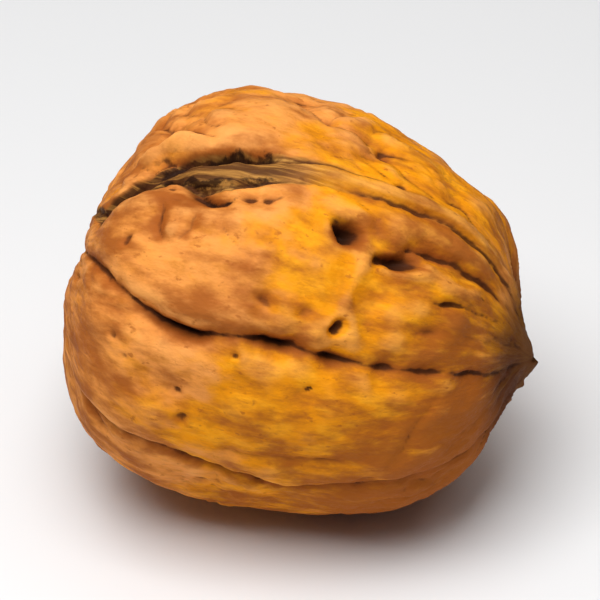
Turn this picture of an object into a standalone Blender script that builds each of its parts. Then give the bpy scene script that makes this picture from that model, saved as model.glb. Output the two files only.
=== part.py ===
# A whole ripe walnut in its shell, lying on its side on a small flat spot.
# The origin is the middle of that spot. +X runs from the stalk end to the tip, and +Z is up.
# The form is worked out in millimetres on the nut's own axes, with the top of the seam at +Z and the front
# at -Y, then rolled, tilted and scaled to metres.
# A station is 0 at the stalk end and 1 at the tip. An angle is in degrees round the nut from the top of the
# seam, positive towards the front.
import math

import bmesh
import bpy
import numpy as np
from mathutils import Matrix, Vector, noise

MILLIMETRE = 0.001

# The plain body: an egg, widest nearer the stalk end, a little fuller across the seam than across the cheeks.
STALK_REACH = 15.3
TIP_REACH = 22.6
STALK_POWER = 2.5
TIP_POWER = 2.2
SEAM_RADIUS = 18.0
CHEEK_RADIUS = 17.6
GIRTH_RADIUS = 17.8
LENGTH = STALK_REACH + TIP_REACH
PROFILE_STEPS = 400

# How it lies: rolled so that the seam leans to the front, with the tip a little down.
ROLL = math.radians(17.0)
TILT = math.radians(7.7)
FLAT_DEPTH = 0.5

# The ends: the dimple where the stalk was, and the beak, which is thin across the seam and bends up towards
# the back of the seam.
STALK_DIMPLE = 1.0
STALK_DIMPLE_WIDTH = 2.4
BEAK_LENGTH = 2.5
BEAK_WIDTH = 1.7
BEAK_THIN = 0.8
BEAK_WIDE = 1.4
BEND_START = 0.7
BEND_RISE = 0.7
BEND_ANGLE = math.radians(-45)

# The body's slow swellings: flat by the stalk on top, full below the tip, and uneven all over as it grew.
# Each swelling has its station, spread, angle and height. Each wave has its scale and height.
SWELLINGS = (
    (0.10, 0.18, -40, -0.9),
    (0.02, 0.07, 5, -0.8),
    (0.45, 0.25, 126, -0.4),
    (0.86, 0.13, 118, 1.9),
    (0.90, 0.10, -20, 0.6),
)
BODY_WAVE = (11, 0.45)
GRAIN_WAVE = (7, 0.3)
GRAIN_RIPPLE = (3.2, 0.24)
WAVE_SEED = 1

# The seam band: fibrous cords in a split at the stalk end, which rise to a smooth keel towards the tip.
# Its edges are angles at the stations, and its level is against the shell. The cords have a pitch and a
# height. The net of creases keeps clear of it.
BAND_STATIONS = (0, 0.06, 0.11, 0.20, 0.28, 0.36, 0.45, 0.53, 0.62, 0.71, 0.79, 0.87, 0.94, 1)
TOP_BAND_BACK = (0, 15, 5, -2, -4, -5.4, -6.2, -7, -8, -9.4, -11.4, -13, -15, -15)
TOP_BAND_FRONT = (0, 22, 10, 5.4, 8.8, 7, 3, 0.5, -1.4, -3.3, -5, -5.5, -6.5, -7)
TOP_BAND_LEVEL = (-0.4, -1.0, -1.35, -1.4, -1.15, -0.85, -0.5, -0.15, 0.05, 0.1, 0.1, 0.1, 0.05, 0)
LOW_BAND_BACK = (0, -3, -2, -4, -5, -5, -4, -3, -3.5, -4, -4.5, -4, -4, 0)
LOW_BAND_FRONT = (0, 3, 4, 2, 1, 1.5, 3, 4, 3, 2, 2, 3, 4, 5)
LOW_BAND_LEVEL = (-0.4, -0.9, -1.0, -0.7, -0.4, -0.2, -0.1, 0, 0.1, 0.3, 0.45, 0.6, 0.6, 0.5)
BAND_WALL = 0.35
BAND_CROWN = 0.35
BAND_CORDS = (0.85, 0.09)
CORD_SWAY = 9.0
NARROWEST_BAND = 0.25
BAND_SURROUNDS = (0.2, 1.2)

# The furrows and creases pressed into the shell as it grew, each with a sharp floor and rounded shoulders.
# Each has the breadth of its floor's back and front side, then its path: station, angle and depth.
CREASES = (
    # the back edge of the seam band
    (0.24, 0.42, (
        (0.05, 18, 0.4), (0.11, 5.5, 0.9), (0.16, -0.8, 1.2), (0.22, -3.0, 1.4), (0.27, -4.1, 1.8),
        (0.31, -4.8, 1.6), (0.335, -5.3, 0.9), (0.365, -5.7, 1.8), (0.40, -6.3, 1.3), (0.44, -6.4, 0.6),
        (0.52, -7.2, 0.4), (0.60, -8, 0.3), (0.68, -9.2, 0.2), (0.75, -10.6, 0),
    )),
    # the front edge of the seam band
    (0.20, 0.30, (
        (0.06, 21, 0.3), (0.11, 10.2, 0.6), (0.20, 5.6, 0.7), (0.26, 8.2, 0.8), (0.31, 8.4, 0.9),
        (0.36, 7.0, 0.7), (0.40, 5.0, 0.6), (0.44, 3.4, 0.35), (0.53, 0.6, 0.2), (0.60, -1.1, 0.3),
        (0.66, -2.1, 0.5), (0.72, -3.6, 0.6), (0.79, -5.1, 0.6), (0.86, -5.4, 0.6), (0.92, -6.3, 0.4),
        (0.97, -7, 0.1),
    )),
    # the gap between the band and the front lobe
    (0.45, 0.36, (
        (0.13, 10.6, 0.3), (0.18, 7.8, 0.5), (0.235, 8.8, 0.7), (0.285, 10.9, 1.8), (0.32, 12.6, 1.7),
        (0.348, 12.2, 1.1), (0.37, 10.6, 0.5), (0.40, 10.4, 0.9), (0.42, 10.2, 0.5), (0.44, 9.6, 0.8),
        (0.47, 7.0, 0.4), (0.52, 4.4, 0.1),
    )),
    # the long furrow that parts the upper lobe from the cheek
    (0.34, 0.50, (
        (0, 31, 0.6), (0.05, 35.5, 0.8), (0.10, 39.3, 1.0), (0.155, 43, 0.8), (0.21, 46, 1.1),
        (0.265, 48.6, 1.8), (0.33, 49.6, 2.2), (0.375, 48.6, 1.6), (0.41, 47.6, 0.8), (0.46, 46.8, 0.8),
        (0.50, 46.8, 1.9), (0.55, 46.9, 2.1), (0.585, 46.9, 1.0), (0.62, 47.2, 0.8), (0.655, 47.6, 1.8),
        (0.70, 47.9, 1.0), (0.735, 48, 0.5), (0.768, 48.2, 1.1), (0.80, 48.4, 0.45), (0.855, 49.2, 1.0),
        (0.89, 49.7, 0.45), (0.93, 51.5, 0.9), (0.96, 54, 0.5), (1, 60, 0.2),
    )),
    # the furrow along the middle of the front half, and its branch
    (0.42, 0.50, (
        (0, 90, 0.5), (0.08, 92, 0.9), (0.20, 91, 0.6), (0.30, 90.5, 0.55), (0.41, 94.7, 0.75),
        (0.50, 97, 0.8), (0.60, 100, 0.7), (0.70, 97.5, 0.65), (0.80, 94.5, 0.8), (0.88, 97.5, 0.6),
        (0.96, 104, 0.4),
    )),
    (0.30, 0.30, (
        (0.44, 83, 0.1), (0.50, 84.4, 0.35), (0.60, 83.4, 0.3), (0.68, 83.4, 0.35), (0.75, 81.5, 0.1),
    )),
    # folds that run with the band to the tip
    (0.26, 0.40, (
        (0.69, 11.8, 0.05), (0.73, 10.8, 0.3), (0.77, 9, 0.6), (0.81, 7.5, 0.8), (0.86, 6.7, 0.85),
        (0.91, 6, 0.7), (0.95, 5, 0.4), (0.99, 3, 0.1),
    )),
    (0.24, 0.40, (
        (0.815, 25, 0.1), (0.85, 22.8, 0.55), (0.90, 21, 0.4), (0.95, 18.5, 0.35), (0.99, 14, 0.1),
    )),
    (0.24, 0.30, (
        (0.78, 36, 0.1), (0.84, 34, 0.15), (0.90, 33, 0.2), (0.97, 34, 0.1),
    )),
    # the slanting fold low on the front
    (0.30, 0.30, (
        (0.80, 84, 0.1), (0.825, 77, 0.35), (0.84, 69, 0.35), (0.875, 57, 0.15),
    )),
    # creases of the upper lobe
    (0.55, 0.45, (
        (0.195, 13.5, 0.3), (0.212, 17, 0.6), (0.21, 21.5, 0.65), (0.225, 25.4, 0.45), (0.25, 26.5, 0.1),
    )),
    (0.60, 0.60, (
        (0.20, 13.5, 0.3), (0.235, 13.2, 0.6), (0.272, 15, 0.65), (0.292, 18.5, 0.6), (0.288, 22.5, 0.45),
        (0.265, 26, 0.1),
    )),
    (0.20, 0.25, (
        (0.34, 17, 0.1), (0.37, 20.5, 0.28), (0.40, 23.5, 0.25), (0.44, 26, 0.1),
    )),
    # cracks behind the seam
    (0.28, 0.28, (
        (0.42, -40, 0.15), (0.455, -33, 0.5), (0.50, -28.5, 0.6), (0.57, -27.5, 0.4), (0.64, -25, 0.3),
    )),
    (0.26, 0.26, (
        (0.50, -28.5, 0.4), (0.52, -34, 0.4), (0.56, -40, 0.15),
    )),
    (0.26, 0.26, (
        (0.66, -22, 0.3), (0.71, -17, 0.45), (0.77, -15, 0.4), (0.83, -20, 0.45), (0.87, -14, 0.3),
        (0.93, -12, 0.2),
    )),
    (0.26, 0.26, (
        (0.03, -70, 0.2), (0.05, -40, 0.6), (0.09, -29, 0.7), (0.13, -33, 0.5), (0.15, -46, 0.3),
    )),
    (0.30, 0.30, (
        (0.10, -30, 0.5), (0.16, -18, 0.7), (0.22, -13, 0.8), (0.27, -10, 0.5), (0.30, -9, 0.1),
    )),
    # furrows of the back half and the underside
    (0.34, 0.34, (
        (0, 140, 0.3), (0.10, 138, 0.8), (0.25, 138, 0.65), (0.45, 135, 0.65), (0.60, 134, 0.6),
        (0.80, 138, 0.5), (1, 140, 0.1),
    )),
    (0.34, 0.34, (
        (0.15, -43, 0.3), (0.30, -46, 0.6), (0.45, -48, 0.6), (0.60, -52, 0.7), (0.80, -48, 0.6),
        (1, -45, 0.1),
    )),
    (0.38, 0.38, (
        (0, -90, 0.5), (0.10, -91, 1.2), (0.25, -88, 1.0), (0.45, -85, 1.0), (0.60, -86, 0.9),
        (0.80, -91, 0.8), (1, -90, 0.2),
    )),
    (0.36, 0.36, (
        (0, -138, 0.3), (0.10, -134, 0.9), (0.30, -137, 0.8), (0.45, -140, 0.7), (0.60, -136, 0.8),
        (0.80, -136, 0.6), (1, -140, 0.1),
    )),
)
CREASE_CUT = 0.85
CREASE_SHOULDER = (0.4, 3.2)
CREASE_FLOOR = 0.1
# How a path is drawn: steps from point to point, and its sway from its line, as scale and size.
PATH_STEPS = 4
SWAY = (1.7, 0.22)
SMALL_SWAY = (0.7, 0.09)
SWAY_SEED = 31

# The ridges between them, along the edges of the lobes and folds. Each has its breadth, then its path:
# station, angle and height.
RIDGES = (
    # the lip of the back half along the split
    (0.75, (
        (0.07, 5, 0.2), (0.12, -3.5, 0.7), (0.18, -7.2, 1.0), (0.24, -9.4, 0.9), (0.29, -11.2, 0.35),
        (0.33, -13, 0),
    )),
    # the swollen edge of the front lobe
    (1.1, (
        (0.09, 22, 0.1), (0.15, 15, 0.35), (0.22, 14, 0.4), (0.27, 15.5, 0.3), (0.30, 18, 0.1),
    )),
    # the forked ridge beside the pits
    (0.75, (
        (0.655, 13, 0.2), (0.668, 18, 0.55), (0.664, 25, 0.45), (0.658, 31, 0.35), (0.635, 36, 0.35),
        (0.608, 41, 0.3),
    )),
    (0.7, (
        (0.655, 32, 0.3), (0.675, 36, 0.4), (0.69, 41, 0.35),
    )),
    # the shoulder of the seam towards the tip
    (1.3, (
        (0.50, 6, 0.1), (0.58, 5, 0.35), (0.66, 4, 0.5), (0.74, 2, 0.5), (0.81, 1, 0.5), (0.87, 0.6, 0.45),
        (0.93, -1, 0.3),
    )),
    (0.8, (
        (0.74, 17.5, 0.1), (0.80, 14.5, 0.35), (0.86, 14.5, 0.35), (0.92, 13, 0.3), (0.97, 11, 0.1),
    )),
    # the slope above the long furrow
    (1.6, (
        (0.20, 42, 0.1), (0.30, 43.5, 0.3), (0.45, 41.5, 0.3), (0.56, 41, 0.25), (0.66, 43, 0.1),
    )),
)

# Soft lumps and hollows on the lobes: station, angle, breadth, height.
LUMPS = (
    # the back half by the seam
    (0.37, -25, 2.2, 0.3),
    (0.58, -20, 1.5, 0.25),
    (0.64, -31, 1.6, 0.3),
    (0.75, -26, 1.6, 0.3),
    (0.86, -30, 1.4, 0.25),
    (0.44, -10, 1.3, -0.2),
    (0.20, -25, 1.5, -0.3),
    # the upper lobe
    (0.38, 31, 3.0, 0.3),
    (0.46, 16, 1.8, 0.3),
    (0.58, 24.5, 1.6, 0.25),
    (0.49, 37, 1.3, -0.3),
    (0.57, 33, 1.2, -0.3),
    # round the two large pits
    (0.635, 11.0, 1.5, -0.4),
    (0.735, 14.5, 1.5, -0.35),
    # between the forked ridge and the tip
    (0.74, 31, 1.3, 0.3),
    (0.80, 27, 1.2, 0.3),
    (0.77, 39, 1.3, 0.3),
    (0.89, 28, 1.1, 0.25),
    (0.715, 28, 1.0, -0.35),
    (0.84, 34, 1.0, -0.3),
    # the cheek
    (0.49, 53.5, 1.8, 0.35),
    (0.475, 68.5, 1.8, 0.3),
    (0.69, 66.5, 2.2, 0.35),
    (0.87, 53.5, 1.8, 0.3),
    (0.28, 75, 1.8, 0.3),
    (0.22, 59, 2.0, 0.25),
    (0.33, 68.5, 1.3, -0.35),
    (0.48, 61, 1.2, -0.3),
    (0.62, 59, 1.1, -0.3),
    (0.79, 71, 1.5, -0.3),
)

# Pits, dimples and pimples: station, angle, half length, half breadth, depth (raised where negative), turn.
SPOTS = (
    (0.625, 12.0, 0.95, 0.75, 1.75, 20),
    (0.598, 9.8, 0.8, 0.55, 0.5, 25),
    (0.325, -4.0, 1.3, 0.36, 0.8, 2),
    (0.402, -5.0, 0.85, 0.28, 0.6, 2),
    (0.752, 14.2, 1.45, 0.55, 1.4, -14),
    (0.706, 16.0, 0.8, 0.5, 0.45, -50),
    (0.868, 22.2, 0.8, 0.35, 0.35, -15),
    (0.649, 39.4, 0.55, 0.52, 0.9, 0),
    (0.154, 28.1, 0.4, 0.5, 0.35, 10),
    (0.249, 22.6, 0.6, 0.5, -0.4, 0),
    (0.648, -23.4, 0.6, 0.5, 0.5, 0),
    (0.697, -10.6, 0.5, 0.4, 0.5, 0),
    (0.170, 57.2, 0.45, 0.4, 0.25, 0),
    (0.206, 62.8, 0.3, 0.3, 0.2, 0),
    (0.340, 68.4, 0.35, 0.3, 0.25, 0),
    (0.359, 75.9, 0.5, 0.4, 0.35, 0),
    (0.453, 52.5, 0.3, 0.3, 0.3, 0),
    (0.621, 58.1, 0.3, 0.25, 0.25, 0),
    (0.491, 36.6, 0.8, 0.5, 0.3, 30),
    (0.577, 36.6, 0.7, 0.45, 0.3, -20),
    (0.411, 104.1, 0.6, 0.4, 0.35, 0),
    (0.548, 98.4, 0.5, 0.4, 0.35, 0),
    (0.765, 92.0, 0.8, 0.4, 0.35, 0),
    (0.36, 93.2, 0.7, 0.5, 0.35, 0),
    (0.45, 96.5, 0.9, 0.5, 0.35, 0),
)
SPOT_WALL_POWER = 3.3
SPOT_SWAY = 1.5
SPOT_RIM = (0.15, 1.7, 0.6)

# The nets of soft creases that part the skin into small lobes, drawn out along the nut, in patches. Each has
# its cell length and breadth, depth, crease breadth as a share of a cell, and the size of its patches.
NETS = (
    (5.2, 3.4, 0.42, 0.34, 6.0),
    (2.2, 1.5, 0.17, 0.36, 4.5),
)
NET_CRACK = (0.25, 0.08)
NET_BEND = (0.9, 0.42)
NET_PATCH_EDGE = (-0.25, 0.35)
NET_SEED = 21
PATCH_SEED = 22
# The calm cheek: station, spread, angle, and the share of the net that is lost there.
CALM_CHEEK = (0.66, 0.5, 58, 1.0)
CALM_EDGE = 2
WRINKLES = (2.2, 0.1)
WRINKLES_AT_ENDS = 0.3
WRINKLE_SEED = 29
WRINKLE_OCTAVES = (0.9, 2.0, 3)
# Relief that runs along the nut fades out this near the ends, from the axis.
END_FADE = 3.5

# The mesh: quads along each edge of the starting cube, and the share of triangles kept in the solid.
GRID = 96
KEPT_SHARE = 0.086
CUTTER_SIZE = (0.03, 0.03, 0.006)
SEED_STEP = (7.31, 3.17, 5.77)
SHELL_COLOUR = (0.62, 0.27, 0.07, 1)
SHELL_ROUGHNESS = 0.6


def clear_scene():
    for thing in list(bpy.data.objects):
        bpy.data.objects.remove(thing)


def ease(low, high, value):
    part = np.clip((value - low) / (high - low), 0, 1)
    return part * part * (3 - 2 * part)


def bell(value, width):
    return np.exp(-(value / width) ** 2)


def moved(points, scale, seed):
    return (points / scale + np.array(SEED_STEP) * seed).tolist()


def noise_at(points, scale, seed):
    return np.array([noise.noise(point) for point in moved(points, scale, seed)])


def shifts_at(points, scale, seed, count):
    """Noise with a few seeds, side by side: a shift in so many directions."""
    return np.stack([noise_at(points, scale, seed + number) for number in range(count)], 1)


def profile_radius(offset):
    """The plain body's radius at a distance along the axis from its widest place."""
    reach = np.where(offset > 0, TIP_REACH, STALK_REACH)
    power = np.where(offset > 0, TIP_POWER, STALK_POWER)
    share = np.clip(np.abs(offset) / reach, 0, 1)
    return GIRTH_RADIUS * (1 - share ** power) ** (1 / power)


def length_over_skin():
    """Stations, and the distance over the skin from the stalk end to each."""
    stations = np.linspace(0, 1, PROFILE_STEPS)
    offsets = stations * LENGTH - STALK_REACH
    steps = np.hypot(np.diff(offsets), np.diff(profile_radius(offsets)))
    return stations, np.concatenate([[0], np.cumsum(steps)])


def cell_edges(points):
    """How far each point is from the border between two cells."""
    gaps = []
    for point in points.tolist():
        near = noise.voronoi(point)[0]
        gaps.append(near[1] - near[0])
    return np.array(gaps)


def bent(points, scale, amount, seed):
    return points + amount * shifts_at(points, scale, seed, 3)


def rough_at(points, scale, seed):
    return np.array([noise.fractal(point, *WRINKLE_OCTAVES) for point in moved(points, scale, seed)])


class Skin:
    """Places on the plain body, and the height of the relief there, all in mm."""

    def __init__(self, directions):
        self.directions = directions
        x, y, z = directions.T
        reach = np.where(x > 0, TIP_REACH, STALK_REACH)
        power = np.where(x > 0, TIP_POWER, STALK_POWER)
        lateral = np.hypot(y / CHEEK_RADIUS, z / SEAM_RADIUS)
        distance = ((np.abs(x) / reach) ** power + lateral ** power) ** (-1 / power)
        self.body = directions * distance[:, None]
        self.station = (self.body[:, 0] + STALK_REACH) / LENGTH
        self.radius = np.hypot(self.body[:, 1], self.body[:, 2])
        self.angle = np.arctan2(-y, z)
        self.stations, self.lengths = length_over_skin()
        self.length = np.interp(self.station, self.stations, self.lengths)
        round_places = GIRTH_RADIUS * np.stack([np.cos(self.angle), np.sin(self.angle)], 1)
        self.grain = np.column_stack([self.length, round_places])
        self.off_end = ease(0, END_FADE, self.radius)
        self.sway = np.zeros((len(directions), 2))
        for number, (scale, size) in enumerate((SWAY, SMALL_SWAY)):
            shifts = shifts_at(self.grain, scale, SWAY_SEED + 2 * number, 2)
            self.sway += size * shifts * self.off_end[:, None]
        self.height = np.zeros(len(directions))

    def round_from(self, degrees):
        """The distance round the skin from an angle."""
        turn = self.angle - np.radians(degrees)
        return ((turn + math.pi) % (2 * math.pi) - math.pi) * self.radius

    def away_from(self, station, degrees):
        """The distances along and round the skin from a place."""
        return self.length - np.interp(station, self.stations, self.lengths), self.round_from(degrees)

    def facing(self, degrees):
        """1 where the skin looks towards an angle, 0 a quarter turn from it and beyond."""
        return np.clip(np.cos(self.angle - math.radians(degrees)), 0, 1) ** 2 * self.off_end


def swell(skin):
    """The slow swellings of the body."""
    waves = ((skin.body, BODY_WAVE), (skin.grain, GRAIN_WAVE), (skin.grain, GRAIN_RIPPLE))
    for number, (place, (scale, height)) in enumerate(waves):
        skin.height += height * noise_at(place, scale, WAVE_SEED + number) * skin.off_end
    for station, spread, angle, height in SWELLINGS:
        skin.height += height * bell(skin.station - station, spread) * skin.facing(angle)


def lay_band(skin):
    """The band where the halves have grown together."""
    top = skin.body[:, 2] > 0
    turn = np.where(top, skin.angle, np.sign(skin.angle) * (math.pi - np.abs(skin.angle)))

    def at(top_values, low_values):
        over = np.interp(skin.station, BAND_STATIONS, top_values)
        under = np.interp(skin.station, BAND_STATIONS, low_values)
        return np.where(top, over, under)

    back = at(TOP_BAND_BACK, LOW_BAND_BACK)
    front = at(TOP_BAND_FRONT, LOW_BAND_FRONT)
    half = np.maximum(np.radians(front - back) / 2 * skin.radius, NARROWEST_BAND)
    across = (turn - np.radians(front + back) / 2) * skin.radius + skin.sway[:, 0]
    out = np.abs(across)
    inside = ease(half + BAND_WALL, half - BAND_WALL, out)
    crown = BAND_CROWN * np.clip(1 - (across / half) ** 2, 0, 1)
    cord_pitch, cord_height = BAND_CORDS
    cords = cord_height * np.sin(across * 2 * math.pi / cord_pitch + CORD_SWAY * skin.sway[:, 1])
    skin.height += inside * (at(TOP_BAND_LEVEL, LOW_BAND_LEVEL) + (crown + cords) * skin.off_end)
    near, clear = BAND_SURROUNDS
    skin.beside_band = ease(half + near, half + clear, out)


def smooth_path(points):
    """More points, on an even curve through the given ones."""
    points = np.array(points, dtype=float)
    ends = np.vstack([2 * points[0] - points[1], points, 2 * points[-1] - points[-2]])
    path = []
    for before, start, stop, after in zip(ends, ends[1:], ends[2:], ends[3:]):
        slope = stop - before
        bend = 2 * before - 5 * start + 4 * stop - after
        twist = 3 * start - before - 3 * stop + after
        for step in range(PATH_STEPS):
            part = step / PATH_STEPS
            path.append(start + (slope * part + bend * part ** 2 + twist * part ** 3) / 2)
    path.append(points[-1])
    return np.array(path)


def from_path(skin, points):
    """The distance from a path over the skin, positive on its front side, and the value it carries there."""
    path = smooth_path(points)
    path_lengths = np.interp(path[:, 0], skin.stations, skin.lengths)
    nearest = np.full(len(skin.length), np.inf)
    side = np.zeros(len(skin.length))
    carried = np.zeros(len(skin.length))
    for start, stop, start_length, stop_length in zip(path, path[1:], path_lengths, path_lengths[1:]):
        along = skin.length + skin.sway[:, 0] - start_length
        across = skin.round_from(start[1]) + skin.sway[:, 1]
        run = stop_length - start_length
        rise = math.radians(stop[1] - start[1]) * skin.radius
        part = np.clip((along * run + across * rise) / (run ** 2 + rise ** 2), 0, 1)
        gap = np.hypot(along - part * run, across - part * rise)
        closer = gap < nearest
        nearest = np.where(closer, gap, nearest)
        side = np.where(closer, np.sign(run * across - rise * along), side)
        carried = np.where(closer, start[2] + part * (stop[2] - start[2]), carried)
    return nearest * side, np.maximum(carried, 0)


def crease(skin, back_width, front_width, points):
    """A furrow along a path, with a sharp floor and rounded shoulders."""
    across, depth = from_path(skin, points)
    width = np.where(across > 0, front_width, back_width)
    share, breadth = CREASE_SHOULDER
    skin.height -= CREASE_CUT * depth * np.exp(-np.hypot(across, CREASE_FLOOR) / width)
    skin.height -= share * depth * bell(across, breadth * width)


def ridge(skin, width, points):
    across, height = from_path(skin, points)
    skin.height += height * bell(across, width)


def spot(skin, station, angle, half_length, half_breadth, depth, turn):
    """A pit with a low rim, or a pimple where the depth is negative."""
    along, across = skin.away_from(station, angle) + SPOT_SWAY * skin.sway.T
    cosine, sine = math.cos(math.radians(turn)), math.sin(math.radians(turn))
    long_share = (along * cosine + across * sine) / half_length
    broad_share = (across * cosine - along * sine) / half_breadth
    far = np.hypot(long_share, broad_share)
    skin.height -= depth / (1 + far ** SPOT_WALL_POWER)
    share, distance, breadth = SPOT_RIM
    skin.height += share * depth * bell(far - distance, breadth)


def crease_nets(skin):
    """Soft creases that part the skin into lobes, with a sharp crack where they are strongest."""
    station, spread, angle, lost = CALM_CHEEK
    calm = 1 - lost * bell(skin.station - station, spread) * skin.facing(angle) ** CALM_EDGE
    for number, (cell_length, cell_breadth, depth, width, patch) in enumerate(NETS):
        stretched = skin.grain / np.array((cell_length, cell_breadth, cell_breadth))
        edge = cell_edges(bent(stretched, *NET_BEND, NET_SEED + 3 * number))
        here = ease(*NET_PATCH_EDGE, noise_at(skin.grain, patch, PATCH_SEED + number))
        cracked = here * calm * skin.off_end * skin.beside_band
        skin.height -= depth * cracked * bell(edge, width)
        share, breadth = NET_CRACK
        skin.height -= share * depth * cracked ** 2 * np.exp(-edge / breadth)


def wrinkles(skin):
    scale, height = WRINKLES
    fade = WRINKLES_AT_ENDS + (1 - WRINKLES_AT_ENDS) * skin.off_end
    skin.height += height * rough_at(skin.grain, scale, WRINKLE_SEED) * fade


def ends(skin):
    """The dimple at the stalk end and the beak at the tip."""
    toward_tip = skin.directions[:, 0] > 0
    beak = np.hypot(skin.body[:, 1] / BEAK_THIN, skin.body[:, 2] / BEAK_WIDE)
    skin.height -= np.where(toward_tip, 0, STALK_DIMPLE * bell(skin.radius, STALK_DIMPLE_WIDTH))
    skin.height += np.where(toward_tip, BEAK_LENGTH * np.exp(-beak / BEAK_WIDTH), 0)


def nut_points(directions):
    """The nut's surface in mm, rolled and tilted as it lies, before it is set on its flat."""
    skin = Skin(directions)
    swell(skin)
    lay_band(skin)
    for values in CREASES:
        crease(skin, *values)
    for values in RIDGES:
        ridge(skin, *values)
    for station, angle, breadth, height in LUMPS:
        skin.height += height * bell(np.hypot(*skin.away_from(station, angle)), breadth)
    for values in SPOTS:
        spot(skin, *values)
    crease_nets(skin)
    wrinkles(skin)
    ends(skin)
    points = skin.body + directions * skin.height[:, None]
    rise = BEND_RISE * ease(BEND_START, 1, skin.station)
    points += rise[:, None] * np.array((0, -math.sin(BEND_ANGLE), math.cos(BEND_ANGLE)))
    turn = Matrix.Rotation(TILT, 3, "Y") @ Matrix.Rotation(ROLL, 3, "X")
    return points @ np.array(turn).T


def even_ball(grid):
    """A ball of equal quads, made from a cube."""
    ball = bmesh.new()
    bmesh.ops.create_cube(ball, size=2)
    bmesh.ops.subdivide_edges(ball, edges=ball.edges[:], cuts=grid - 1, use_grid_fill=True)
    for vert in ball.verts:
        vert.co = Vector([math.tan(value * math.pi / 4) for value in vert.co]).normalized()
    return ball


def weight_centre(points, triangles):
    first, second, third = (points[triangles[:, corner]] for corner in range(3))
    volumes = np.einsum("ij,ij->i", first, np.cross(second, third))
    return ((first + second + third) * volumes[:, None]).sum(0) / volumes.sum() / 4


def set_on_flat(points, triangles):
    """Move the nut so that its weight is over the origin and the flat is on the floor."""
    centre = weight_centre(points, triangles)
    return points - np.array((centre[0], centre[1], points[:, 2].min() + FLAT_DEPTH))


def shell_material():
    material = bpy.data.materials.new("walnut shell")
    material.use_nodes = True
    surface = material.node_tree.nodes["Principled BSDF"]
    surface.inputs["Base Color"].default_value = SHELL_COLOUR
    surface.inputs["Roughness"].default_value = SHELL_ROUGHNESS
    return material


def collection(name):
    made = bpy.data.collections.new(name)
    bpy.context.scene.collection.children.link(made)
    return made


def floor_cutter(cutters):
    """A block whose top is the floor: it takes the low side of the nut off as a small flat."""
    block = bmesh.new()
    bmesh.ops.create_cube(block, size=1)
    bmesh.ops.scale(block, verts=block.verts, vec=CUTTER_SIZE)
    bmesh.ops.translate(block, verts=block.verts, vec=(0, 0, -CUTTER_SIZE[2] / 2))
    mesh = bpy.data.meshes.new("floor cutter")
    block.to_mesh(mesh)
    block.free()
    cutter = bpy.data.objects.new("floor cutter", mesh)
    cutter.hide_render = True
    cutter.display_type = "WIRE"
    cutters.objects.link(cutter)
    return cutter


def nut(pieces, cutter):
    ball = even_ball(GRID)
    mesh = bpy.data.meshes.new("walnut")
    ball.to_mesh(mesh)
    ball.free()
    directions = np.array([vert.co[:] for vert in mesh.vertices])
    mesh.calc_loop_triangles()
    triangles = np.array([triangle.vertices[:] for triangle in mesh.loop_triangles])
    points = set_on_flat(nut_points(directions), triangles) * MILLIMETRE
    mesh.vertices.foreach_set("co", points.ravel())
    mesh.update()
    mesh.shade_smooth()
    mesh.materials.append(shell_material())
    walnut = bpy.data.objects.new("walnut", mesh)
    pieces.objects.link(walnut)
    fewer = walnut.modifiers.new("fewer faces", "DECIMATE")
    fewer.ratio = KEPT_SHARE
    flat = walnut.modifiers.new("rest spot", "BOOLEAN")
    flat.operation = "DIFFERENCE"
    flat.solver = "EXACT"
    flat.object = cutter
    return walnut


def main():
    clear_scene()
    pieces = collection("walnut")
    cutters = collection("cutters")
    nut(pieces, floor_cutter(cutters))


main()
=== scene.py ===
import math

import bmesh
import bpy
import numpy as np
from mathutils import Matrix, Vector, noise


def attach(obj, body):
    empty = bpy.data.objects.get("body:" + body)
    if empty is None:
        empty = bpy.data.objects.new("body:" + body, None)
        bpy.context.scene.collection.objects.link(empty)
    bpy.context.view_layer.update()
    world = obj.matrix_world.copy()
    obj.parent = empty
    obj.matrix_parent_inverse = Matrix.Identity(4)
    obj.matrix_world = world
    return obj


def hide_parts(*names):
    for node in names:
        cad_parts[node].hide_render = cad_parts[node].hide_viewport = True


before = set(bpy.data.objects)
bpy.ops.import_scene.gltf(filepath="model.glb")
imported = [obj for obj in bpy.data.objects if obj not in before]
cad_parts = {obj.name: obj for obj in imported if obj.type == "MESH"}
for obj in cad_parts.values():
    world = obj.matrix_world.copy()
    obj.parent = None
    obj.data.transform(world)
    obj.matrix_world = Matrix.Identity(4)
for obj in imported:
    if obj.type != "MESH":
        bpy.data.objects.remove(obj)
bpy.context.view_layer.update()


# The nut's body: a ripe walnut's woody shell, grown as two halves along a seam and shut. It is one piece, an
# egg that is widest nearer the stalk end, and a little fuller across the seam than across the cheeks.
# Sizes are in mm on the nut's own axes: x from the stalk end to the tip, z to the top of the seam, and -y to
# the front.
STALK_REACH = 15.3
TIP_REACH = 22.6
STALK_POWER = 2.5
TIP_POWER = 2.2
SEAM_RADIUS = 18.0
CHEEK_RADIUS = 17.6
GIRTH_RADIUS = 17.8
LENGTH = STALK_REACH + TIP_REACH
PROFILE_STEPS = 400
# Relief that runs along the nut fades out this near the ends, in mm from the axis.
END_FADE = 3.5
# How edges and creases wander over the skin: the length of their bends, and how far they go, in mm.
SWAY = (1.7, 0.22)
SMALL_SWAY = (0.7, 0.09)
SWAY_SEED = 31
# The cells along each edge of the cube that is blown up into the nut.
GRID = 128
# How far one seed's noise lies from the last one's.
SEED_STEP = (7.31, 3.17, 5.77)


def ease(low, high, value):
    part = np.clip((value - low) / (high - low), 0, 1)
    return part * part * (3 - 2 * part)


def moved(points, scale, seed):
    """The points as places in a noise of that scale, in the seed's own part of it."""
    return (points / scale + np.array(SEED_STEP) * seed).tolist()


def noise_at(points, scale, seed):
    return np.array([noise.noise(point) for point in moved(points, scale, seed)])


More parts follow.
